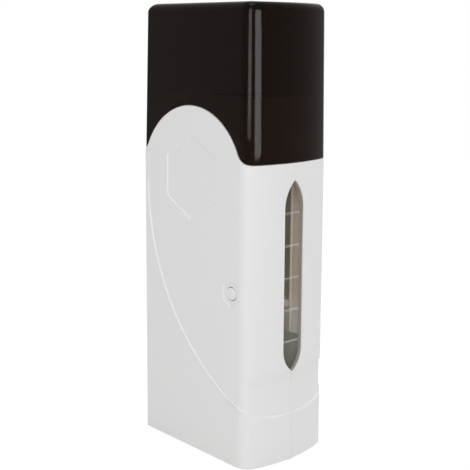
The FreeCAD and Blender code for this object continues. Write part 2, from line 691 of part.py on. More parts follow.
def casing_halves():
    """Two moulded halves, split down the middle of the front, floor and back."""
    outside = drafted_form("case_outside", "0", low="Sizes.foot_proud",
                           high="Sizes.joint_height + Sizes.bell_rise",
                           low_radius="Sizes.bottom_edge_radius", back_radius="Sizes.back_corner_radius")
    inside = drafted_form("case_inside", "Sizes.case_wall", low=FLOOR_TOP, high="Sizes.overall_height")
    ridged = fuse("case_ridged", outside, sweep_ridge())
    skin = cut("case_skin", ridged, hexagon_pits(), front_band())
    hollow = cut("case_hollow", skin, inside)
    ribs = []
    for name, y, z in bosses():
        ribs.append(rod(f"boss_{name}", "Sizes.boss_radius", f"-{HALF_WIDTH}", HALF_WIDTH, y, z))
    for side, sign in (("left", "-"), ("right", "")):
        inner, outer = CHEEK_OUTER, f"({WALL_INNER} + Sizes.case_wall / 2)"
        reach = (f"-{outer}", f"-{inner}") if sign else (inner, outer)
        for number_in_row, span in enumerate(lug_spans()):
            ribs.append(block(f"shelf_{side}_{number_in_row}", reach, span,
                              (f"{SEAT_LOW} - Sizes.shelf_height", SEAT_LOW)))
        rim = f"{WALL_INNER} - Sizes.ledge_width"
        reach = (f"-{outer}", f"-({rim})") if sign else (rim, outer)
        ribs.append(block(f"ledge_{side}", reach, (f"-{CHAMBER_FRONT}", CHAMBER_BACK),
                          (f"{COLLAR_BOTTOM} - Sizes.ledge_width", COLLAR_BOTTOM)))
    ribbed = fuse("case_ribbed", hollow, *ribs)
    openings = [window_prism("window_opening", "0")]
    for name, y, z in bosses():
        openings.append(rod(f"pilot_{name}", "Sizes.screw_radius",
                            "Sizes.screw_seat - Sizes.screw_length", "0", y, z))
        openings.append(rod(f"clearance_{name}", "Sizes.screw_radius + Sizes.screw_clearance",
                            "0", "Sizes.screw_seat", y, z))
        openings.append(rod(f"well_{name}", "Sizes.screw_head_radius + Sizes.well_clearance",
                            "Sizes.screw_seat", OUTSIDE, y, z))
    gap = "Sizes.pane_clearance"
    openings.append(block("inlet_opening",
                          (f"-Sizes.inlet_width / 2 - {gap}", f"Sizes.inlet_width / 2 + {gap}"),
                          (f"{BACK} - 2 * Sizes.case_wall", OUTSIDE),
                          (f"Sizes.inlet_z - Sizes.inlet_height / 2 - {gap}",
                           f"Sizes.inlet_z + Sizes.inlet_height / 2 + {gap}")))
    for name, x, y in feet_places():
        openings.append(rod(f"foot_recess_{name}", "Sizes.foot_radius", "0",
                            "Sizes.foot_proud + Sizes.foot_recess", turn=UP, x=x, y=y))
    groove_floor = drafted_form("groove_floor", "Sizes.seam_groove", low="0", high="Sizes.overall_height")
    groove_width = block("groove_width", ("-Sizes.seam_groove / 2", "Sizes.seam_groove / 2"),
                         (f"-{OUTSIDE}", OUTSIDE), ("0", "Sizes.overall_height"))
    openings.append(cut("seam_groove", groove_width, groove_floor))
    pierced = cut("case_pierced", ribbed, *openings)
    case = common("case", pierced, below_joint("case_reach", "0"))
    halves = {}
    button_hole = rod("button_hole", "Sizes.button_radius + Sizes.button_clearance",
                      f"-{OUTSIDE}", f"-{CHEEK_OUTER}", BUTTON_Y, "Sizes.button_z")
    for side, reach in (("left", (f"-{OUTSIDE}", "0")), ("right", ("0", OUTSIDE))):
        space = block(f"{side}_space", reach, (f"-{OUTSIDE}", OUTSIDE), ("0", "Sizes.overall_height"))
        half = common(f"{side}_half", case, space)
        halves[f"{side}_casing"] = cut("left_casing", half, button_hole) if side == "left" else half
    return halves


def lid():
    """Smoked hood that slides down over the collar until it meets the casing."""
    outside = rounded_hood("lid_outside", "Sizes.lid_step", "Sizes.overall_height", "Sizes.lid_edge_radius",
                           "Sizes.lid_corner_radius")
    inside = rounded_hood("lid_inside", LID_INNER, "Sizes.overall_height - Sizes.lid_top",
                          "Sizes.lid_edge_radius - Sizes.lid_wall", "Sizes.lid_corner_radius / 2")
    shell = cut("lid_shell", outside, inside)
    return {"lid": cut("lid", shell, below_joint("lid_reach", "Sizes.joint_gap"))}


def top_frame():
    """Collar that carries the lid, closed by a deck with the cartridge's opening."""
    outside = drafted_form("collar_outside", COLLAR_OUTER, low=COLLAR_BOTTOM, high=DECK_TOP)
    inside = drafted_form("collar_inside", f"{COLLAR_OUTER} + Sizes.collar_wall", low="Sizes.chamber_bottom",
                          high=DECK_UNDER)
    opening = rounded_block("cartridge_opening",
                            (f"-{CHAMBER_INNER}", CHAMBER_INNER), (f"-{CHAMBER_FRONT}", CHAMBER_BACK),
                            ("Sizes.joint_height", "Sizes.overall_height"), "Sizes.chamber_corner")
    return {"top_frame": cut("top_frame", outside, inside, opening)}


def front_window():
    """Clear pane let into the front, with a flange behind the wall and raised level marks."""
    glass_run = window_prism("pane_run", "-Sizes.pane_clearance")
    face = drafted_form("pane_face", "Sizes.pane_recess", low=FLOOR_TOP, high="Sizes.overall_height")
    back = drafted_form("pane_back", "Sizes.case_wall", low=FLOOR_TOP, high="Sizes.overall_height")
    plug = cut("pane_plug", common("pane_in_wall", glass_run, face), back)
    flange_back = drafted_form("flange_back", "Sizes.case_wall + Sizes.pane_flange", low=FLOOR_TOP,
                               high="Sizes.overall_height")
    flange_run = window_prism("flange_run", "Sizes.pane_margin")
    flange = cut("pane_flange_ring", common("pane_behind_wall", flange_run, back), flange_back)
    tick_face = drafted_form("tick_face", "Sizes.pane_recess - Sizes.tick_height", low=FLOOR_TOP,
                             high="Sizes.overall_height")
    ticks = []
    for row in range(int(number("Sizes.tick_count"))):
        level = f"({TICK_FIRST} + {row} * {TICK_PITCH})"
        ticks.append(block(f"tick_{row}",
                           ("-Sizes.window_half_width + Sizes.pane_clearance", "Sizes.tick_end"),
                           (f"-{OUTSIDE}", f"-{BACK} + Sizes.case_wall + Sizes.front_bow"),
                           (f"{level} - Sizes.tick_thickness / 2", f"{level} + Sizes.tick_thickness / 2")))
    marks = cut("level_marks", common("marks_in_wall", fuse("tick_row", *ticks), tick_face), flange_back)
    return {"front_window": fuse("front_window", plug, flange, marks)}


def window_hood():
    """Light cheeks that run from the window back to the chamber, joined by a bridge at the top."""
    cheeks = []
    span = (f"-{OUTSIDE}", CHEEK_BACK)
    height = (CHEEK_LOW, CHEEK_HIGH)
    cheeks.append(block("cheek_left", (f"-{CHEEK_OUTER}", f"-{CHAMBER_OUTER}"), span, height))
    cheeks.append(block("cheek_right", (CHAMBER_OUTER, CHEEK_OUTER), span, height))
    cheeks.append(block("cheek_bridge", (f"-{CHEEK_OUTER}", CHEEK_OUTER),
                        (f"-{OUTSIDE}", f"-{CHAMBER_FRONT}"),
                        (f"{CHEEK_HIGH} - Sizes.cheek_thickness", CHEEK_HIGH)))
    reach = drafted_form("hood_reach", "Sizes.case_wall + Sizes.pane_flange + Sizes.fit_clearance",
                         low=FLOOR_TOP, high="Sizes.overall_height")
    return {"window_hood": common("window_hood", fuse("hood_panels", *cheeks), reach)}


def rivet_places():
    """Side, sign and Y of each clamp rivet."""
    return [
        (f"{side}_{end}", sign, y)
        for side, sign in (("left", -1), ("right", 1))
        for end, y in (
            ("front", f"({HEATER_FRONT} - Sizes.clamp_thickness - Sizes.clamp_foot / 2)"),
            ("back", f"({HEATER_BACK} + Sizes.clamp_thickness + Sizes.clamp_foot / 2)"),
        )
    ]


def along_side(sign, near, far):
    """A span of X on the right, or mirrored to the left."""
    return (near, far) if sign > 0 else (f"-({far})", f"-({near})")


def heating_chamber():
    """Aluminium sleeve round three sides of the cartridge, open towards the window."""
    height = ("Sizes.chamber_bottom", DECK_UNDER)
    ahead = f"-{CHAMBER_FRONT} - 2 * Sizes.chamber_corner"
    outer = rounded_block("chamber_outer", (f"-{CHAMBER_OUTER}", CHAMBER_OUTER), (ahead, CHAMBER_REAR),
                          height, "Sizes.chamber_corner + Sizes.chamber_wall")
    inner = rounded_block("chamber_inner", (f"-{CHAMBER_INNER}", CHAMBER_INNER), (ahead, CHAMBER_BACK),
                          ("0", "Sizes.overall_height"), "Sizes.chamber_corner")
    front = block("chamber_front_cut", (f"-{OUTSIDE}", OUTSIDE), (f"-{OUTSIDE}", f"-{CHAMBER_FRONT}"),
                  ("0", "Sizes.overall_height"))
    holes = []
    for name, sign, y in rivet_places():
        start, end = along_side(sign, "0", CHEEK_OUTER)
        holes.append(rod(f"rivet_hole_{name}", "Sizes.rivet_radius", start, end, y,
                         f"{CLAMP_LOW} + Sizes.clamp_height / 2"))
    return {"heating_chamber": cut("heating_chamber", outer, inner, front, *holes)}


def cartridge_seat():
    """Plate under the chamber that the cartridge stands on, with lugs on the casing's shelves."""
    plate = block("seat_plate", (f"-{CHAMBER_OUTER}", CHAMBER_OUTER), (f"-{CHAMBER_FRONT}", CHAMBER_REAR),
                  (SEAT_LOW, SEAT_TOP))
    gap = "Sizes.fit_clearance"
    pad = rounded_block("seat_pad_block", (f"-{CHAMBER_INNER} + {gap}", f"{CHAMBER_INNER} - {gap}"),
                        (f"-{CHAMBER_FRONT} + {gap}", f"{CHAMBER_BACK} - {gap}"),
                        (SEAT_TOP, f"{SEAT_TOP} + Sizes.seat_pad"), f"Sizes.chamber_corner - {gap}")
    lugs = []
    for row, span in enumerate(lug_spans()):
        reach = f"({WALL_INNER} - {gap})"
        lugs.append(block(f"seat_lug_{row}", (f"-{reach}", reach), span, (SEAT_LOW, SEAT_TOP)))
    return {"cartridge_seat": fuse("cartridge_seat", plate, pad, *lugs)}


def heaters():
    """A flat heater on each side of the chamber, held by a riveted spring clamp under a heat-proof sheet."""
    nodes = {}
    clamp_span = (CLAMP_LOW, f"{CLAMP_LOW} + Sizes.clamp_height")
    rivet_z = f"{CLAMP_LOW} + Sizes.clamp_height / 2"
    rivets = []
    for side, sign in (("left", -1), ("right", 1)):
        heater = block(f"heater_{side}", along_side(sign, CHAMBER_OUTER, HEATER_OUTER),
                       (HEATER_FRONT, HEATER_BACK), (HEATER_LOW, HEATER_HIGH))
        nodes[f"heater_{side}"] = heater
        gauge, lap = "Sizes.clamp_thickness", "Sizes.clamp_foot"
        ahead, behind = f"({HEATER_FRONT} - {gauge})", f"({HEATER_BACK} + {gauge})"
        web_x = along_side(sign, HEATER_OUTER, CLAMP_OUTER)
        web = block(f"clamp_web_{side}", web_x, (ahead, behind), clamp_span)
        leg_x = along_side(sign, CHAMBER_OUTER, CLAMP_OUTER)
        foot_x = along_side(sign, CHAMBER_OUTER, f"{CHAMBER_OUTER} + {gauge}")
        front_leg = block(f"clamp_front_leg_{side}", leg_x, (ahead, HEATER_FRONT), clamp_span)
        back_leg = block(f"clamp_back_leg_{side}", leg_x, (HEATER_BACK, behind), clamp_span)
        front_foot = block(f"clamp_front_foot_{side}", foot_x, (f"{ahead} - {lap}", ahead), clamp_span)
        back_foot = block(f"clamp_back_foot_{side}", foot_x, (behind, f"{behind} + {lap}"), clamp_span)
        strip = fuse(f"clamp_strip_{side}", web, front_leg, back_leg, front_foot, back_foot)
        holes = []
        for name, rivet_sign, y in rivet_places():
            if rivet_sign != sign:
                continue
            start, end = along_side(sign, "0", CLAMP_OUTER)
            holes.append(rod(f"clamp_hole_{name}", "Sizes.rivet_radius", start, end, y, rivet_z))
            start, end = along_side(sign, CHAMBER_INNER, f"{CHAMBER_OUTER} + {gauge}")
            shank = rod(f"rivet_shank_{name}", "Sizes.rivet_radius", start, end, y, rivet_z)
            start, end = along_side(sign, f"{CHAMBER_OUTER} + {gauge}",
                                    f"{CHAMBER_OUTER} + {gauge} + Sizes.rivet_head")
            head = rod(f"rivet_head_{name}", "Sizes.rivet_head_radius", start, end, y, rivet_z)
            rivets.append(fuse(f"rivet_{name}", shank, head))
        nodes[f"heater_clamp_{side}"] = cut(f"heater_clamp_{side}", strip, *holes)
        nodes[f"insulation_{side}"] = block(
            f"insulation_{side}",
            along_side(sign, CLAMP_OUTER, f"{CLAMP_OUTER} + Sizes.sheet_thickness"),
            (f"{HEATER_FRONT} - Sizes.sheet_margin", f"{HEATER_BACK} + Sizes.sheet_margin"),
            (f"{HEATER_LOW} - Sizes.sheet_margin", f"{HEATER_HIGH} + Sizes.sheet_margin"))
    nodes["clamp_rivets"] = group("clamp_rivets", rivets)
    return nodes


def heat_guards():
    """Thermostat on the right wall of the chamber, thermal fuse on the left."""
    half = "Sizes.thermostat_width / 2"
    thermostat = rounded_block(
        "thermostat", (CHAMBER_OUTER, f"{CHAMBER_OUTER} + Sizes.thermostat_thickness"),
        (f"{SENSOR_Y} - {half}", f"{SENSOR_Y} + {half}"), (SENSOR_LOW, SENSOR_HIGH), "Sizes.component_corner")
    fuse_rod = rod("thermal_fuse", "Sizes.fuse_radius", SENSOR_LOW, f"{SENSOR_LOW} + Sizes.fuse_length",
                   turn=UP, x=f"-({CHAMBER_OUTER} + Sizes.fuse_radius)", y=SENSOR_Y)
    return {"thermostat": thermostat, "thermal_fuse": fuse_rod}


def switch_parts():
    """Circuit board on the left cheek with the button's switch, a pilot lamp and the power parts."""
    board = block("circuit_board", (f"-{BOARD_OUTER}", f"-{CHEEK_OUTER}"),
                  (f"-{BOARD_FRONT}", f"{CHEEK_BACK} - Sizes.cheek_thickness"),
                  (BOARD_LOW, f"{BOARD_LOW} + Sizes.board_height"))
    half = "Sizes.switch_side / 2"
    y, z = BUTTON_Y, "Sizes.button_z"
    case = block("switch_case", (f"-{SWITCH_FACE}", f"-{BOARD_OUTER}"),
                 (f"{y} - {half}", f"{y} + {half}"), (f"{z} - {half}", f"{z} + {half}"))
    bore_end = f"-({SWITCH_FACE} - Sizes.plunger_depth - Sizes.button_travel - Sizes.button_clearance)"
    bore = rod("switch_bore", "Sizes.plunger_radius + Sizes.plunger_clearance", f"-{OUTSIDE}", bore_end, y, z)
    lamp_low = f"({z} + {half} + Sizes.lamp_side / 2)"
    lamp = block("pilot_lamp", along_side(-1, BOARD_OUTER, f"{BOARD_OUTER} + Sizes.lamp_height"),
                 (f"{y} - Sizes.lamp_side", f"{y} + Sizes.lamp_side"),
                 (lamp_low, f"{lamp_low} + Sizes.lamp_side"))
    triac_low = f"({lamp_low} + 2 * Sizes.lamp_side)"
    triac = block("triac", along_side(-1, BOARD_OUTER, f"{BOARD_OUTER} + Sizes.triac_height"),
                  (f"{y} - {half}", f"{y} - {half} + Sizes.triac_side"),
                  (triac_low, f"{triac_low} + Sizes.triac_side"))
    capacitor = rounded_block("capacitor",
                              along_side(-1, BOARD_OUTER, f"{BOARD_OUTER} + Sizes.capacitor_thickness"),
                              (f"{y} - {half}", f"{y} - {half} + Sizes.capacitor_width"),
                              (f"{BOARD_LOW} + Sizes.board_thickness",
                               f"{BOARD_LOW} + Sizes.board_thickness + Sizes.capacitor_height"),
                              "Sizes.component_corner")
    return {
        "circuit_board": board,
        "switch_body": cut("switch_body", case, bore),
        "pilot_lamp": lamp,
        "triac": triac,
        "capacitor": capacitor,
    }


def push_button():
    """Button cap in the small hexagon, its flange inside the wall, and the switch's plunger behind it."""
    y, z = BUTTON_Y, "Sizes.button_z"
    face = f"({SIDE_AT_BUTTON} + Sizes.button_proud)"
    start, end = along_side(-1, FLANGE_FACE, f"{face} - Sizes.button_edge")
    barrel = rod("button_barrel", "Sizes.button_radius", start, end, y, z)
    bevel = doc.addObject("Part::Cone", "button_bevel")
    bevel.setExpression("Radius1", "Sizes.button_radius - Sizes.button_edge")
    bevel.setExpression("Radius2", "Sizes.button_radius")
    bevel.setExpression("Height", "Sizes.button_edge")
    place(bevel, f"-{face}", y, z, ALONG_X)
    start, end = along_side(-1, f"{FLANGE_FACE} - Sizes.button_flange", FLANGE_FACE)
    flange = rod("button_flange", "Sizes.button_flange_radius", start, end, y, z)
    start, end = along_side(-1, STEM_END, f"{FLANGE_FACE} - Sizes.button_flange")
    stem = rod("button_stem", "Sizes.plunger_radius", start, end, y, z)
    start, end = along_side(-1, f"{SWITCH_FACE} - Sizes.plunger_depth", STEM_END)
    plunger = rod("switch_plunger", "Sizes.plunger_radius", start, end, y, z)
    return {"push_button": fuse("push_button", barrel, bevel, flange, stem), "switch_plunger": plunger}


def mains_inlet():
    """Two-pin inlet in the back, a figure-eight recess with a pin in each round."""
    middle = "Sizes.inlet_z"
    half_width, half_height = "Sizes.inlet_width / 2", "Sizes.inlet_height / 2"
    shell = block("inlet_shell", (f"-{half_width}", half_width), (INLET_FRONT, BACK),
                  (f"{middle} - {half_height}", f"{middle} + {half_height}"))
    rim = "Sizes.inlet_flange_margin"
    wall = f"({BACK} - Sizes.case_wall)"
    flange = block("inlet_flange", (f"-{half_width} - {rim}", f"{half_width} + {rim}"),
                   (f"{wall} - Sizes.inlet_flange", wall),
                   (f"{middle} - {half_height} - {rim}", f"{middle} + {half_height} + {rim}"))
    hollows, pins = [], []
    for side, sign in (("left", "-"), ("right", "")):
        x = f"{sign}Sizes.pin_spacing / 2"
        hollows.append(rod(f"inlet_round_{side}", "Sizes.inlet_bore", f"{BACK} - Sizes.inlet_recess", OUTSIDE,
                           z=middle, turn=ALONG_Y, x=x))
        hollows.append(rod(f"inlet_pin_hole_{side}", "Sizes.pin_radius", "0", BACK,
                           z=middle, turn=ALONG_Y, x=x))
        pins.append(rod(f"inlet_pin_{side}", "Sizes.pin_radius", f"{INLET_FRONT} - Sizes.pin_tail",
                        f"{BACK} - Sizes.pin_setback", z=middle, turn=ALONG_Y, x=x))
    return {
        "inlet_socket": cut("inlet_socket", fuse("inlet_block", shell, flange), *hollows),
        "inlet_pins": group("inlet_pins", pins),
    }


def casing_screws():
    """Four screws from the right side into the left half's bosses."""
    screws = []
    for name, y, z in bosses():
        shank = rod(f"screw_shank_{name}", "Sizes.screw_radius", "Sizes.screw_seat - Sizes.screw_length",
                    "Sizes.screw_seat", y, z)
        head = rod(f"screw_head_{name}", "Sizes.screw_head_radius", "Sizes.screw_seat",
                   "Sizes.screw_seat + Sizes.screw_head", y, z)
        depth = ("Sizes.screw_seat + Sizes.screw_head / 2", "Sizes.screw_seat + 2 * Sizes.screw_head")
        reach, slot = "Sizes.screw_radius", "Sizes.screw_slot / 2"
        across = block(f"screw_slot_across_{name}", depth, (f"{y} - {reach}", f"{y} + {reach}"),
                       (f"{z} - {slot}", f"{z} + {slot}"))
        upright = block(f"screw_slot_upright_{name}", depth, (f"{y} - {slot}", f"{y} + {slot}"),
                        (f"{z} - {reach}", f"{z} + {reach}"))
        screws.append(cut(f"screw_{name}", fuse(f"screw_blank_{name}", shank, head), across, upright))
    return {"casing_screws": group("casing_screws", screws)}


def feet():
    """Four rubber discs let into the floor."""
    return {
        f"foot_{name}": rod(f"foot_{name}", "Sizes.foot_radius", "0", "Sizes.foot_proud + Sizes.foot_recess",
                            turn=UP, x=x, y=y)
        for name, x, y in feet_places()
    }


def lead(name, points):
    """An insulated wire along straight runs joined by arcs as large as the runs allow."""
    corners = [Vector(*(number(value) for value in point)) for point in points]
    edges = []
    start = corners[0]
    for before, corner, after in zip(corners, corners[1:], corners[2:]):
        into, onward = corner - before, after - corner
        reach = 0.45 * min(into.Length, onward.Length)
        turn = into.getAngle(onward)
        into.normalize()
        onward.normalize()
        enter, leave = corner - into * reach, corner + onward * reach
        radius = reach / math.tan(turn / 2)
        bisector = (onward - into).normalize()
        centre = corner + bisector * (radius / math.cos(turn / 2))
        middle = centre - bisector * radius
        edges.append(Part.LineSegment(start, enter).toShape())
        edges.append(Part.Arc(enter, middle, leave).toShape())
        start = leave
    edges.append(Part.LineSegment(start, corners[-1]).toShape())
    path = Part.Wire(edges)
    section = Part.Wire(Part.makeCircle(number("Sizes.lead_radius"), corners[0], corners[1] - corners[0]))
    thing = doc.addObject("Part::Feature", name)
    thing.Shape = path.makePipeShell([section], True, True)
    thing.Placement = FreeCAD.Placement()
    return thing


def leads():
    """Wiring from the inlet through board, fuse, both heaters and thermostat and back to the inlet."""
    run = "Sizes.lead_run"
    tail = f"{INLET_FRONT} - Sizes.pin_tail"
    pin = "Sizes.pin_spacing / 2"
    level = "Sizes.inlet_z"
    lane = f"({CHEEK_OUTER} + Sizes.lead_radius + Sizes.lead_space)"
    heater_x = f"({CHAMBER_OUTER} + Sizes.heater_thickness / 2)"
    fuse_x = f"({CHAMBER_OUTER} + Sizes.fuse_radius)"
    back = f"({LUG_FRONT} + {LUG_BACK}) / 2"
    board = f"(1.8 * {run} - {BOARD_FRONT})"
    near = f"{HEATER_FRONT} + 1.6 * {run}"
    fuse_top = f"{SENSOR_LOW} + Sizes.fuse_length"
    return {
        "lead_live": lead("lead_live", [
            (f"-{pin}", tail, level),
            (f"-{pin}", f"{tail} - 2 * {run}", level),
            (f"-1.8 * {run}", f"-0.8 * {run}", f"{level} + 1.4 * {run}"),
            (f"-{lane}", f"{board} + {run}", f"{level} + 3.8 * {run}"),
            (f"-{lane}", board, f"{BOARD_LOW} - 2 * {run}"),
            (f"-{lane}", board, BOARD_LOW)]),
        "lead_neutral": lead("lead_neutral", [
            (pin, tail, level),
            (pin, f"{tail} - 2 * {run}", level),
            (f"1.8 * {run}", f"-0.6 * {run}", f"{level} + 1.6 * {run}"),
            (lane, f"{SENSOR_Y} - 0.2 * {run}", f"{level} + 4 * {run}"),
            (lane, f"{SENSOR_Y} - 0.4 * {run}", f"{SENSOR_LOW} - 2.8 * {run}"),
            (lane, f"{SENSOR_Y} - 0.4 * {run}", SENSOR_LOW)]),
        "lead_thermostat": lead("lead_thermostat", [
            (lane, f"{SENSOR_Y} + 0.4 * {run}", SENSOR_LOW),
            (lane, f"{SENSOR_Y} + 0.4 * {run}", f"{SENSOR_LOW} - {run}"),
            (lane, f"{SENSOR_Y} + 1.4 * {run}", f"{SENSOR_LOW} - 1.2 * {run}"),
            (heater_x, near, f"{HEATER_LOW} - 1.4 * {run}"),
            (heater_x, near, HEATER_LOW)]),
        "lead_bridge": lead("lead_bridge", [
            (heater_x, back, HEATER_LOW),
            (heater_x, back, f"{HEATER_LOW} - 1.2 * {run}"),
            (lane, back, f"{SEAT_LOW} - 0.8 * {run}"),
            (f"1.6 * {run}", f"{back} - 0.2 * {run}", f"{SEAT_LOW} - 1.8 * {run}"),
            (f"-1.6 * {run}", f"{back} - 0.12 * {run}", f"{SEAT_LOW} - 1.8 * {run}"),
            (f"-{lane}", back, f"{SEAT_LOW} - 0.8 * {run}"),
            (f"-{heater_x}", back, f"{HEATER_LOW} - 1.2 * {run}"),
            (f"-{heater_x}", back, HEATER_LOW)]),
        "lead_fuse": lead("lead_fuse", [
            (f"-{heater_x}", near, HEATER_LOW),
            (f"-{heater_x}", near, f"{HEATER_LOW} - 1.4 * {run}"),
            (f"-{fuse_x}", f"{SENSOR_Y} + 1.2 * {run}", f"{SENSOR_LOW} - 1.2 * {run}"),
            (f"-{fuse_x}", SENSOR_Y, f"{SENSOR_LOW} - {run}"),
            (f"-{fuse_x}", SENSOR_Y, SENSOR_LOW)]),
        "lead_board": lead("lead_board", [
            (f"-{fuse_x}", SENSOR_Y, fuse_top),
            (f"-{fuse_x}", SENSOR_Y, f"{fuse_top} + 0.8 * {run}"),
            (f"-{lane}", f"{SENSOR_Y} - 0.52 * {run}", f"{fuse_top} + 1.4 * {run}"),
            (f"-{lane}", f"{CHEEK_BACK} - Sizes.cheek_thickness", f"{fuse_top} + 1.4 * {run}")]),
    }


def build():
    nodes = {}
    for make in (casing_halves, lid, top_frame, front_window, window_hood, heating_chamber, cartridge_seat,
                 heaters, heat_guards, switch_parts, push_button, mains_inlet, casing_screws, feet, leads):
        nodes.update(make())
    for name, thing in nodes.items():
        thing.Label = name
    doc.recompute()
    for thing in doc.Objects:
        if "Invalid" in thing.State or "Error" in thing.State:
            raise RuntimeError(f"{thing.Label} could not be built: {thing.State}")
    for name, thing in nodes.items():
        if thing.Shape.isNull() or not thing.Shape.isValid() or not thing.Shape.Solids:
            raise RuntimeError(f"{name} has no valid shape")
    return nodes


def write(nodes):
    os.makedirs("parts", exist_ok=True)
    for name, thing in nodes.items():
        thing.Shape.exportStep(f"parts/{name}.step")
        print(f"{name}: {len(thing.Shape.Solids)} solid, {thing.Shape.Volume / 1000:.3f} cm3")


write(build())
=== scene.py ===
import math

import bmesh
import bpy
from mathutils import Matrix, Vector


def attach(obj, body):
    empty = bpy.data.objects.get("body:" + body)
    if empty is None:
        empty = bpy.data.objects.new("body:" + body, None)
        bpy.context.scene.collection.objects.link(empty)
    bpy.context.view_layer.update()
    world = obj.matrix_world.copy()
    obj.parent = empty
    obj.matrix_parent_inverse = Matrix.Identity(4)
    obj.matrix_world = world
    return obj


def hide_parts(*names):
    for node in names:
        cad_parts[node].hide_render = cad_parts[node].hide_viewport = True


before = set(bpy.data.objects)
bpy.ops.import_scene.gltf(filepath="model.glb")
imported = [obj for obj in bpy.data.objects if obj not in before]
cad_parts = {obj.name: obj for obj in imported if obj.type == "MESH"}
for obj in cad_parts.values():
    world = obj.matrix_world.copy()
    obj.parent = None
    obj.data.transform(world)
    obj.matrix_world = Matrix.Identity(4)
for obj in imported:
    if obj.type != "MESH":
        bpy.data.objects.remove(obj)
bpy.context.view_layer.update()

# Casing halves: two shells moulded in white ABS that meet in a seam down the middle, held by screws
# driven from the right side. The skin is satin with a faint orange peel. Each half is its packed
# solid with the outward edges broken by a small radius, as they leave the mould.
CASING_COLOUR = (0.80, 0.80, 0.795, 1)
CASING_ROUGHNESS = 0.5
CASING_EDGE = 0.0002
FOOT_OF_CASING = 0.003
PLASTIC_SPECULAR = 0.3
PEEL_DEPTH = 0.0001
SHARP = math.radians(28)
FLAT = math.radians(0.05)
SAME_POINT = 2e-6
EDGE_STEPS = 2
EVEN_WEIGHT = 100
SLIVER = 0.005
BENT_STRIP = 0.08
BENT_STRIP_RADII = 4
SEAM_REACH = 0.00025
SEAM_FLOOR_LEAN = 0.5
SEAM_FILL = 0.00028


def new_finish(name, colour):
    """A material of one colour, with its shader."""
    material = bpy.data.materials.new(name)
    material.use_nodes = True
    shader = material.node_tree.nodes["Principled BSDF"]
    shader.inputs["Base Color"].default_value = colour
    return material, shader


def uneven_gloss(material, roughness, spread, scale, detail, stretch=None):
    """Let the roughness wander by spread to either side over the skin. Returns the grain it follows."""
    nodes, links = material.node_tree.nodes, material.node_tree.links
    place = nodes.new("ShaderNodeTexCoord").outputs["Object"]
    if stretch:
        drawn = nodes.new("ShaderNodeMapping")
        drawn.inputs["Scale"].default_value = stretch
        links.new(place, drawn.inputs["Vector"])
        place = drawn.outputs["Vector"]
    grain = nodes.new("ShaderNodeTexNoise")
    grain.inputs["Scale"].default_value = scale
    grain.inputs["Detail"].default_value = detail
    links.new(place, grain.inputs["Vector"])
    gloss = nodes.new("ShaderNodeMapRange")
    gloss.inputs["To Min"].default_value = roughness - spread
    gloss.inputs["To Max"].default_value = roughness + spread
    links.new(grain.outputs["Fac"], gloss.inputs["Value"])
    links.new(gloss.outputs["Result"], nodes["Principled BSDF"].inputs["Roughness"])
    return grain


def plastic(name, colour, roughness, peel=0.02, scale=900):
    """Moulded plastic: one colour, with a fine peel in the skin and a slightly uneven gloss."""
    material, shader = new_finish(name, colour)
    nodes, links = material.node_tree.nodes, material.node_tree.links
    shader.inputs["Specular IOR Level"].default_value = PLASTIC_SPECULAR
    grain = uneven_gloss(material, roughness, spread=roughness * 0.1, scale=scale, detail=3)
    bump = nodes.new("ShaderNodeBump")
    bump.inputs["Strength"].default_value = peel
    bump.inputs["Distance"].default_value = PEEL_DEPTH
    links.new(grain.outputs["Fac"], bump.inputs["Height"])
    links.new(bump.outputs["Normal"], shader.inputs["Normal"])
    return material


def finish_node(node, material):
    """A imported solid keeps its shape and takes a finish."""
    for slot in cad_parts[node].material_slots:
        slot.material = material


def new_object(name, data):
    """An object of the scene, at the origin until it is moved."""
    made = bpy.data.objects.new(name, data)
    bpy.context.collection.objects.link(made)
    return made


def round_shading(bm):
    """Shade the skin smooth, with a crease along each edge that turns sharply."""
    for edge in bm.edges:
        edge.smooth = edge.calc_face_angle() < SHARP
    for face in bm.faces:
        face.smooth = True


def sliver(face, radius):
    """A long face too narrow to take the radius, straight or as a strip bent round a curve."""
    longest = max(edge.calc_length() for edge in face.edges)
    half_round = face.calc_perimeter() / 2
    straight = longest > SLIVER and face.calc_area() < radius * longest
    bent = half_round > BENT_STRIP and face.calc_area() < BENT_STRIP_RADII * radius * half_round
    return straight or bent


def fill_seam(bm):
    """Raise the floor of the groove between the halves, which the tongue behind it nearly closes."""
    floor_of_groove = [
        face for face in bm.faces
        if abs(face.normal.x) < SEAM_FLOOR_LEAN
        and all(abs(vertex.co.x) < SEAM_REACH for vertex in face.verts)
    ]
    moves = {}
    for face in floor_of_groove:
        for vertex in face.verts:
            moves[vertex] = moves.get(vertex, Vector()) + face.normal
    for vertex, move in moves.items():
        vertex.co += move.normalized() * SEAM_FILL


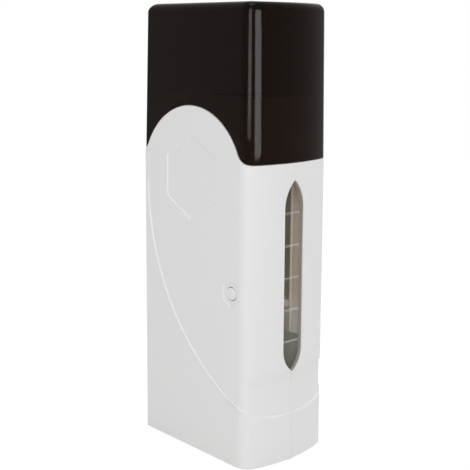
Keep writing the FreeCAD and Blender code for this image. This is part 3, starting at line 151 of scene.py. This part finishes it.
def broken_edges(node, name, radius, materials, body, lowest=-1, seam=False):
    """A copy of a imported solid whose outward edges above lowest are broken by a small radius."""
    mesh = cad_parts[node].data.copy()
    mesh.name = name
    mesh.attributes.remove(mesh.attributes["custom_normal"])
    bm = bmesh.new()
    bm.from_mesh(mesh)
    bmesh.ops.remove_doubles(bm, verts=bm.verts, dist=SAME_POINT)
    bmesh.ops.dissolve_degenerate(bm, edges=bm.edges, dist=SAME_POINT)
    bmesh.ops.dissolve_limit(bm, angle_limit=FLAT, verts=bm.verts, edges=bm.edges)
    bm.normal_update()
    if seam:
        fill_seam(bm)
    sharp = [
        edge for edge in bm.edges
        if edge.is_convex and edge.calc_face_angle() > SHARP and edge.verts[0].co.z > lowest
        and not any(sliver(face, radius) for face in edge.link_faces)
    ]
    bmesh.ops.bevel(bm, geom=sharp, offset=radius, segments=EDGE_STEPS, profile=0.5, affect="EDGES",
                    material=-1, loop_slide=False)
    round_shading(bm)
    for face in bm.faces:
        face.material_index = 0
    bm.to_mesh(mesh)
    bm.free()
    mesh.materials.clear()
    for material in materials:
        mesh.materials.append(material)
    piece = new_object(name, mesh)
    even = piece.modifiers.new("even_shading", "WEIGHTED_NORMAL")
    even.weight = EVEN_WEIGHT
    even.keep_sharp = True
    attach(piece, body)
    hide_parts(node)
    return piece


white_abs = plastic("white_abs", CASING_COLOUR, CASING_ROUGHNESS)
for side in ("left", "right"):
    broken_edges(f"{side}_casing", f"{side}_shell", CASING_EDGE, [white_abs], "casing",
                 lowest=FOOT_OF_CASING, seam=True)

# Push button: a round cap of the casing's own white plastic that stands in the small hexagon on the
# left. Its flange is caught behind the wall, and its stem ends on the switch's plunger.
BUTTON_EDGE = 0.00015
broken_edges("push_button", "button_cap", BUTTON_EDGE, [white_abs], "button")

# Lid: a deep hood moulded in smoked polycarbonate and polished inside and out, which slips down over
# the collar. It is so dark that the collar only shows as faint lines. The tint sits in the outer
# skin, so that a look along the top plate is as dark as one straight through the hood.
LID_TINT = (0.0060, 0.0026, 0.0012, 1)
LID_CLEAR = (1, 1, 1, 1)
LID_GLOSS = 0.03
LID_INDEX = 1.14
LID_FLOW_SCALE = 60
LID_MIDDLE = Vector((0, 0, 0.175))
LID_EDGE = 0.0002
INNER_SKIN = 1


def clear_plastic(name, tint):
    """Transparent plastic with a polished skin, tinted where light passes it."""
    material, shader = new_finish(name, tint)
    shader.inputs["Transmission Weight"].default_value = 1
    shader.inputs["IOR"].default_value = LID_INDEX
    uneven_gloss(material, LID_GLOSS, spread=LID_GLOSS * 0.2, scale=LID_FLOW_SCALE, detail=2)
    return material


smoked = clear_plastic("smoked_polycarbonate", LID_TINT)
smoked_inside = clear_plastic("smoked_inside", LID_CLEAR)
hood = broken_edges("lid", "smoked_hood", LID_EDGE, [smoked, smoked_inside], "lid")
for face in hood.data.polygons:
    if face.normal.dot(face.center - LID_MIDDLE) < 0:
        face.material_index = INNER_SKIN

# Level window: a clear polycarbonate pane let into the front wall, where a flange behind the wall
# holds it. Its rim is left grey by the mould. The rounded shoulders of its five raised marks carry
# a near-white haze as a painted highlight, so that each mark reads as two light lines.
PANE_EDGE = 0.0002
PANE_COLOUR, PANE_HAZE = (0.88, 0.79, 0.58, 1), 0.05
RIM_COLOUR, RIM_HAZE = (0.42, 0.37, 0.32, 1), 0.7
# Painted highlight: the marks' shoulders are hazed near white so that they read as light lines.
MARK_HIGHLIGHT_COLOUR, MARK_HIGHLIGHT_HAZE = (0.92, 0.88, 0.87, 1), 0.58
MARK_LOWEST, MARK_HIGHEST = 0.0570, 0.1200
MARK_LEAN = 0.3
RIM_LEAN = 0.8
RIM, MARK_HIGHLIGHTS = 1, 2


def thin_clear(name, colour, haze, roughness):
    """Clear sheet: most of the light goes straight through, and haze is the share that stays."""
    material = plastic(name, colour, roughness, peel=0)
    material.node_tree.nodes["Principled BSDF"].inputs["Alpha"].default_value = haze
    return material


clear = thin_clear("clear_polycarbonate", PANE_COLOUR, PANE_HAZE, roughness=0.1)
grey_rim = thin_clear("pane_rim", RIM_COLOUR, RIM_HAZE, roughness=0.4)
painted_highlight_marks = thin_clear("marks_painted_highlight", MARK_HIGHLIGHT_COLOUR, MARK_HIGHLIGHT_HAZE, roughness=0.5)
pane = broken_edges("front_window", "window_pane", PANE_EDGE, [clear, grey_rim, painted_highlight_marks], "casing")
# The marks' shoulders take the painted highlight, and the other faces that don't face the front take the
# grey rim.
for face in pane.data.polygons:
    if abs(face.normal.z) > MARK_LEAN and MARK_LOWEST < face.center.z < MARK_HIGHEST:
        face.material_index = MARK_HIGHLIGHTS
    elif abs(face.normal.y) < RIM_LEAN:
        face.material_index = RIM

# Liner parts: the collar and deck under the lid, the cheeks behind the window and the cartridge's
# seat, moulded in a light heat-proof plastic with a satin skin. The collar lies on the casing's
# ledge, and the seat's lugs lie on its shelves.
liner = plastic("liner_plastic", colour=(0.86, 0.82, 0.76, 1), roughness=0.5, peel=0.03)
for node in ("top_frame", "window_hood", "cartridge_seat"):
    finish_node(node, liner)

# Heating chamber: a sleeve bent from aluminium sheet round three sides of the cartridge, open towards
# the window and anodised bronze-grey. It stands between the seat and the deck.
DRAWN_STRETCH = (40, 40, 900)
DRAWN_SCALE = 6
DRAWN_STREAK = 0.06


def metal(name, colour, roughness):
    """Sheet or wire whose skin has fine drawn lines."""
    material, shader = new_finish(name, colour)
    shader.inputs["Metallic"].default_value = 1
    uneven_gloss(material, roughness, DRAWN_STREAK, DRAWN_SCALE, detail=4, stretch=DRAWN_STRETCH)
    return material


bronze = metal("bronze_anodising", colour=(0.42, 0.37, 0.22, 1), roughness=0.5)
finish_node("heating_chamber", bronze)

# Reflectors: a strip of light film down the inner face of each cheek, with a rolled back edge at the
# chamber's mouth, which lights the wax behind the window. Above its foot the flat of the film is
# painted darker and browner with height as painted shade, and the roll keeps the film's pale colour.
FILM_LOW, FILM_HIGH = 0.0556, 0.1335
FILM_FRONT, FILM_BACK = -0.0318, -0.0202
FILM_FACE, FILM_BEHIND = 0.01572, 0.01598
FILM_ROUGHNESS = 0.5
FILM_PALE = (0.95, 0.92, 0.88, 1)
# Painted shade: between these heights the flat of the film is painted from its pale colour to this brown,
# darker towards the top.
FILM_PAINTED_SHADE = (0.84, 0.73, 0.61, 1)
PAINTED_SHADE_FROM, PAINTED_SHADE_TO = 0.066, 0.076
ROLL_RADIUS = 0.00075
ROLL_STEPS = 10
PALE, SHADED_FLAT = 0, 1


def painted_shade_with_height(name):
    """Light film with painted shade: darker and browner with height."""
    material = plastic(name, FILM_PALE, FILM_ROUGHNESS)
    nodes, links = material.node_tree.nodes, material.node_tree.links
    place = nodes.new("ShaderNodeTexCoord")
    split = nodes.new("ShaderNodeSeparateXYZ")
    links.new(place.outputs["Object"], split.inputs["Vector"])
    rise = nodes.new("ShaderNodeMapRange")
    rise.inputs["From Min"].default_value = PAINTED_SHADE_FROM
    rise.inputs["From Max"].default_value = PAINTED_SHADE_TO
    links.new(split.outputs["Z"], rise.inputs["Value"])
    tone = nodes.new("ShaderNodeMix")
    tone.data_type = "RGBA"
    tone.inputs["A"].default_value = FILM_PALE
    tone.inputs["B"].default_value = FILM_PAINTED_SHADE
    links.new(rise.outputs["Result"], tone.inputs["Factor"])
    links.new(tone.outputs["Result"], nodes["Principled BSDF"].inputs["Base Color"])
    return material


pale_film = plastic("pale_film", FILM_PALE, FILM_ROUGHNESS)
film_painted_shade = painted_shade_with_height("film_painted_shade")
roll_centre = FILM_BACK - ROLL_RADIUS
flat_back = roll_centre - ROLL_RADIUS
film_outline = []
for step in range(ROLL_STEPS + 1):
    turn = math.pi * step / ROLL_STEPS
    inward = FILM_BEHIND - ROLL_RADIUS * math.sin(turn)
    if inward <= FILM_FACE or turn < math.pi / 2:
        film_outline.append((inward, roll_centre + ROLL_RADIUS * math.cos(turn)))
film_outline += [(FILM_FACE, flat_back), (FILM_FACE, FILM_FRONT), (FILM_BEHIND, FILM_FRONT)]
for side, sign in (("left", -1), ("right", 1)):
    mesh = bpy.data.meshes.new(f"reflector_{side}")
    bm = bmesh.new()
    foot = bm.faces.new([bm.verts.new((sign * x, y, FILM_LOW)) for x, y in film_outline])
    pulled = bmesh.ops.extrude_face_region(bm, geom=[foot])
    raised = [item for item in pulled["geom"] if isinstance(item, bmesh.types.BMVert)]
    bmesh.ops.translate(bm, verts=raised, vec=(0, 0, FILM_HIGH - FILM_LOW))
    bmesh.ops.recalc_face_normals(bm, faces=bm.faces)
    round_shading(bm)
    for face in bm.faces:
        # The flat of the film takes the painted shade, and the roll keeps the film's own pale colour.
        face.material_index = SHADED_FLAT if face.calc_center_median().y < flat_back else PALE
    bm.to_mesh(mesh)
    bm.free()
    mesh.materials.append(pale_film)
    mesh.materials.append(film_painted_shade)
    piece = new_object(f"reflector_{side}", mesh)
    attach(piece, "casing")

# Heaters: flat ceramic elements wrapped in amber film, pressed on the chamber's sides by spring steel
# clamps with a rivet at each end. A sheet of woven glass lies over each clamp.
amber_film = plastic("amber_film", colour=(0.55, 0.30, 0.07, 1), roughness=0.3)
spring_steel = metal("spring_steel", colour=(0.62, 0.61, 0.60, 1), roughness=0.35)
drawn_aluminium = metal("drawn_aluminium", colour=(0.80, 0.79, 0.78, 1), roughness=0.3)
glass_cloth = plastic("glass_cloth", colour=(0.78, 0.75, 0.66, 1), roughness=0.85, peel=0.6, scale=1600)
for side in ("left", "right"):
    finish_node(f"heater_{side}", amber_film)
    finish_node(f"heater_clamp_{side}", spring_steel)
    finish_node(f"insulation_{side}", glass_cloth)
finish_node("clamp_rivets", drawn_aluminium)

# Heat guards: a thermostat in a black phenolic case on the right wall of the chamber, and a thermal
# fuse in a drawn metal can on the left wall.
black_case = plastic("black_case", colour=(0.02, 0.02, 0.021, 1), roughness=0.5, peel=0.05)
finish_node("thermostat", black_case)
finish_node("thermal_fuse", drawn_aluminium)

# Circuit board: green laminate on the left cheek, which carries the button's switch, a pilot lamp, a
# triac and a film capacitor. The switch's plunger moves with the button.
green_mask = plastic("green_mask", colour=(0.02, 0.12, 0.05, 1), roughness=0.35)
amber_epoxy = plastic("amber_epoxy", colour=(0.85, 0.35, 0.05, 1), roughness=0.12)
potted_film = plastic("potted_film", colour=(0.62, 0.42, 0.05, 1), roughness=0.3)
finish_node("circuit_board", green_mask)
for node in ("switch_body", "switch_plunger", "triac"):
    finish_node(node, black_case)
finish_node("pilot_lamp", amber_epoxy)
finish_node("capacitor", potted_film)

# Mains inlet: a black thermoplastic socket let into the back wall, with its flange inside. One plated
# brass pin stands in each round of its figure-eight recess.
plated_brass = metal("plated_brass", colour=(0.83, 0.78, 0.66, 1), roughness=0.22)
finish_node("inlet_socket", black_case)
finish_node("inlet_pins", plated_brass)

# Casing screws: four zinc-plated thread-forming screws, driven from the right side into the left
# half's bosses, with their heads at the bottom of wells.
zinc_plate = metal("zinc_plate", colour=(0.66, 0.66, 0.67, 1), roughness=0.35)
finish_node("casing_screws", zinc_plate)

# Feet: four discs of grey silicone rubber let into the floor of the casing, on which the heater
# stands without sliding.
foot_rubber = plastic("foot_rubber", colour=(0.28, 0.28, 0.275, 1), roughness=0.8, peel=0.1)
for foot in ("left_front", "left_back", "right_front", "right_back"):
    finish_node(f"foot_{foot}", foot_rubber)

# Leads: stranded wire in silicone rubber. Brown comes from the live pin, red runs from the board
# through the fuse, cream joins the heaters and the thermostat, and blue goes to the neutral pin.
LEAD_ROUGHNESS = 0.55
LEAD_COLOURS = {
    "lead_live": (0.16, 0.06, 0.03, 1),
    "lead_neutral": (0.03, 0.09, 0.30, 1),
    "lead_thermostat": (0.70, 0.68, 0.62, 1),
    "lead_bridge": (0.70, 0.68, 0.62, 1),
    "lead_fuse": (0.55, 0.08, 0.04, 1),
    "lead_board": (0.55, 0.08, 0.04, 1),
}
for node, colour in LEAD_COLOURS.items():
    finish_node(node, plastic(f"{node}_rubber", colour, LEAD_ROUGHNESS))

# Studio: a pale floor in an even white room, with a tall soft box in front on the left, a square one
# at the right side and a wide one overhead. Two strips, one in front on the left and one straight
# ahead, show only in the gloss. The floor's glow times its share is just under white.
ROOM_COLOUR = (1, 1, 1, 1)
ROOM_LEVEL = 0.50
ROOM_SEEN_LEVEL = 1
FLOOR_COLOUR = (0.82, 0.82, 0.82, 1)
FLOOR_ROUGHNESS = 0.9
FLOOR_REACH = 6
FLOOR_GLOW = 1.06
FLOOR_GLOW_SHARE = 0.92
BOX_DISTANCE = 1.3
STRIP_DISTANCE = 1.25


def seen_directly(nodes, links):
    """One for rays from the camera, from gloss and through glass, nothing for light on the object."""
    path = nodes.new("ShaderNodeLightPath")
    both = nodes.new("ShaderNodeMath")
    both.operation = "ADD"
    links.new(path.outputs["Is Camera Ray"], both.inputs[0])
    links.new(path.outputs["Is Glossy Ray"], both.inputs[1])
    every = nodes.new("ShaderNodeMath")
    every.operation = "ADD"
    every.use_clamp = True
    links.new(both.outputs[0], every.inputs[0])
    links.new(path.outputs["Is Transmission Ray"], every.inputs[1])
    return every.outputs[0]


world = bpy.data.worlds.new("white_room")
bpy.context.scene.world = world
world.use_nodes = True
nodes, links = world.node_tree.nodes, world.node_tree.links
room = nodes["Background"]
room.inputs["Color"].default_value = ROOM_COLOUR
brightness = nodes.new("ShaderNodeMapRange")
brightness.inputs["To Min"].default_value = ROOM_LEVEL
brightness.inputs["To Max"].default_value = ROOM_SEEN_LEVEL
links.new(seen_directly(nodes, links), brightness.inputs["Value"])
links.new(brightness.outputs["Result"], room.inputs["Strength"])

floor_finish, ground = new_finish("pale_floor", FLOOR_COLOUR)
nodes, links = floor_finish.node_tree.nodes, floor_finish.node_tree.links
ground.inputs["Roughness"].default_value = FLOOR_ROUGHNESS
ground.inputs["Specular IOR Level"].default_value = 0
glow = nodes.new("ShaderNodeEmission")
glow.inputs["Strength"].default_value = FLOOR_GLOW
share = nodes.new("ShaderNodeMath")
share.operation = "MULTIPLY"
share.inputs[1].default_value = FLOOR_GLOW_SHARE
links.new(seen_directly(nodes, links), share.inputs[0])
mixed = nodes.new("ShaderNodeMixShader")
links.new(share.outputs[0], mixed.inputs["Fac"])
links.new(ground.outputs["BSDF"], mixed.inputs[1])
links.new(glow.outputs["Emission"], mixed.inputs[2])
links.new(mixed.outputs["Shader"], nodes["Material Output"].inputs["Surface"])
floor_mesh = bpy.data.meshes.new("floor")
bm = bmesh.new()
bmesh.ops.create_grid(bm, x_segments=1, y_segments=1, size=FLOOR_REACH)
bm.to_mesh(floor_mesh)
bm.free()
floor_mesh.materials.append(floor_finish)
floor = new_object("floor", floor_mesh)


def soft_box(name, place, aim, width, height, level):
    """A rectangular area light at place that faces aim, as bright as level seen head on."""
    lamp = bpy.data.lights.new(name, "AREA")
    lamp.shape = "RECTANGLE"
    lamp.size = width
    lamp.size_y = height
    lamp.energy = level * math.pi * width * height
    box = new_object(name, lamp)
    turn = (Vector(aim) - Vector(place)).to_track_quat("-Z", "Y").to_matrix().to_4x4()
    box.matrix_world = Matrix.Translation(place) @ turn
    return box


def around(bearing, height, distance):
    """A place at a bearing in degrees from straight ahead of the front, positive to the left."""
    turn = math.radians(bearing)
    return Vector((-math.sin(turn) * distance, -math.cos(turn) * distance, height))


soft_box("left_box", place=around(48, 0.525, BOX_DISTANCE), aim=(0, 0, 0.4), width=0.42, height=0.85,
         level=4.9)
right_box = soft_box("right_box", place=around(-78, 0.3, BOX_DISTANCE), aim=(0, 0, 0.1), width=0.6,
                     height=0.6, level=3)
right_box.visible_glossy = False
soft_box("top_box", place=(0, -0.1, 1.5), aim=(0, -0.0999, 0), width=0.8, height=0.8, level=4)
for name, bearing, width, low, high, level in (
    ("left_strip", 51, 0.6, 0.07, 0.5, 9),
    ("right_strip", -2.7, 0.41, 0.03, 0.38, 17),
):
    middle = (low + high) / 2
    strip = soft_box(name, around(bearing, middle, STRIP_DISTANCE), (0, 0, middle), width, high - low,
                     level)
    strip.visible_diffuse = False

# Camera: in front on the left, nearly as high as the top of the lid, and tilted down to the middle of
# the heater.
CAMERA_PLACE = Vector((-0.30928, -0.33420, 0.19631))
CAMERA_YAW = 0.00222
CAMERA_PITCH = -0.20368
CAMERA_ROLL = 0.00619
CAMERA_LENS = 74.18
CAMERA_SENSOR = 36
CAMERA_NEAREST = 0.01
camera = bpy.data.cameras.new("camera")
camera.lens = CAMERA_LENS
camera.sensor_width = CAMERA_SENSOR
camera.clip_start = CAMERA_NEAREST
bearing = math.atan2(-CAMERA_PLACE.y, -CAMERA_PLACE.x) + CAMERA_YAW
level_reach = math.cos(CAMERA_PITCH)
ahead = Vector((math.cos(bearing) * level_reach, math.sin(bearing) * level_reach, math.sin(CAMERA_PITCH)))
across = ahead.cross(Vector((0, 0, 1))).normalized()
upward = across.cross(ahead)
right = across * math.cos(CAMERA_ROLL) + upward * math.sin(CAMERA_ROLL)
top = upward * math.cos(CAMERA_ROLL) - across * math.sin(CAMERA_ROLL)
stand = Matrix((right, top, -ahead)).transposed().to_4x4()
viewer = new_object("camera", camera)
viewer.matrix_world = Matrix.Translation(CAMERA_PLACE) @ stand
bpy.context.scene.camera = viewer
bpy.context.scene.view_settings.view_transform = "Standard"
